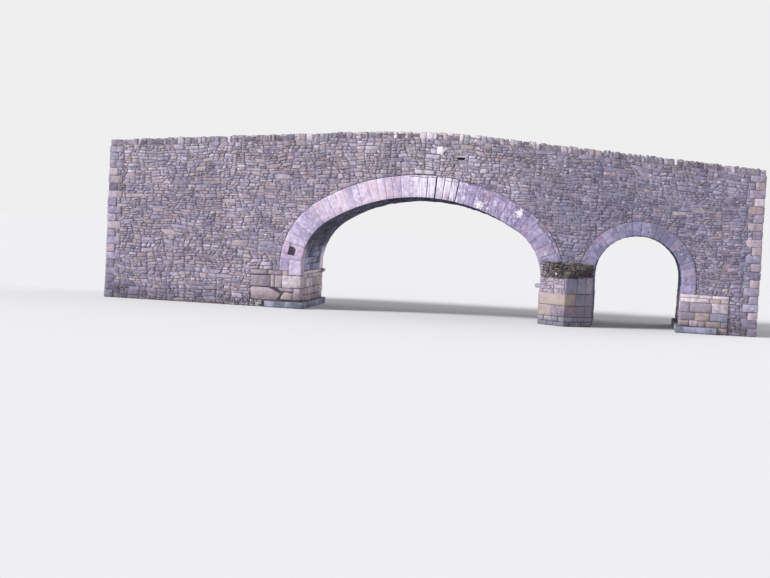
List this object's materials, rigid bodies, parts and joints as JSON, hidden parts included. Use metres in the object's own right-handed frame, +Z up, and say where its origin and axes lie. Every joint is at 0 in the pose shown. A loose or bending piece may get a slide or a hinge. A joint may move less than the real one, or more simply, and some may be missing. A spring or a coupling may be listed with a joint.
{
  "type": "stone arch bridge",
  "caption": "Old humpbacked masonry bridge with a wide low river arch, a small round flood arch, pointed cutwaters on the pier between them and rough coped parapets.",
  "frame": {"origin": "middle of the length and width of the bridge, at the level of the water and the feet of its walls", "axes": "+X along the bridge towards the flood arch, +Y from the front face to the back, +Z up"},
  "size_m": [21.74, 4.86, 6.09],
  "materials": {
    "footing_stone": "dark damp slab, roughly dressed",
    "ashlar": "large dressed sandstone blocks, weathered and stained near the water",
    "ring_stone": "long thin dressed voussoirs, lichen covered",
    "vault_stone": "rough soffit stone, dark and damp",
    "rubble": "flat bedded sandstone rubble in lime mortar",
    "coping_stone": "rough stones set on edge",
    "road_surface": "packed gravel and small stones",
    "earth_fill": "packed earth and rubble, hidden"
  },
  "bodies": {
    "root": {"left_footing": "footing_stone", "right_footing": "footing_stone", "left_abutment": "ashlar", "right_abutment": "ashlar", "pier": "ashlar", "front_cutwater": "ashlar", "back_cutwater": "ashlar", "front_cutwater_cap": "rubble", "back_cutwater_cap": "rubble", "left_impost": "ashlar", "pier_impost": "ashlar", "left_main_vault": "vault_stone", "crown_main_vault": "vault_stone", "right_main_vault": "vault_stone", "front_left_main_ring": "ring_stone", "front_crown_main_ring": "ring_stone", "front_right_main_ring": "ring_stone", "back_left_main_ring": "ring_stone", "back_crown_main_ring": "ring_stone", "back_right_main_ring": "ring_stone", "side_vault": "vault_stone", "front_side_ring": "ring_stone", "back_side_ring": "ring_stone", "front_left_spandrel": "rubble", "front_middle_spandrel": "rubble", "front_right_spandrel": "rubble", "back_left_spandrel": "rubble", "back_middle_spandrel": "rubble", "back_right_spandrel": "rubble", "front_left_wing_wall": "rubble", "front_right_wing_wall": "rubble", "back_left_wing_wall": "rubble", "back_right_wing_wall": "rubble", "left_end_wall": "rubble", "right_end_wall": "rubble", "earth_fill": "earth_fill", "roadway": "road_surface", "front_left_parapet": "rubble", "front_right_parapet": "rubble", "back_left_parapet": "rubble", "back_right_parapet": "rubble", "front_left_coping": "coping_stone", "front_right_coping": "coping_stone", "back_left_coping": "coping_stone", "back_right_coping": "coping_stone"}
  },
  "joints": []
}
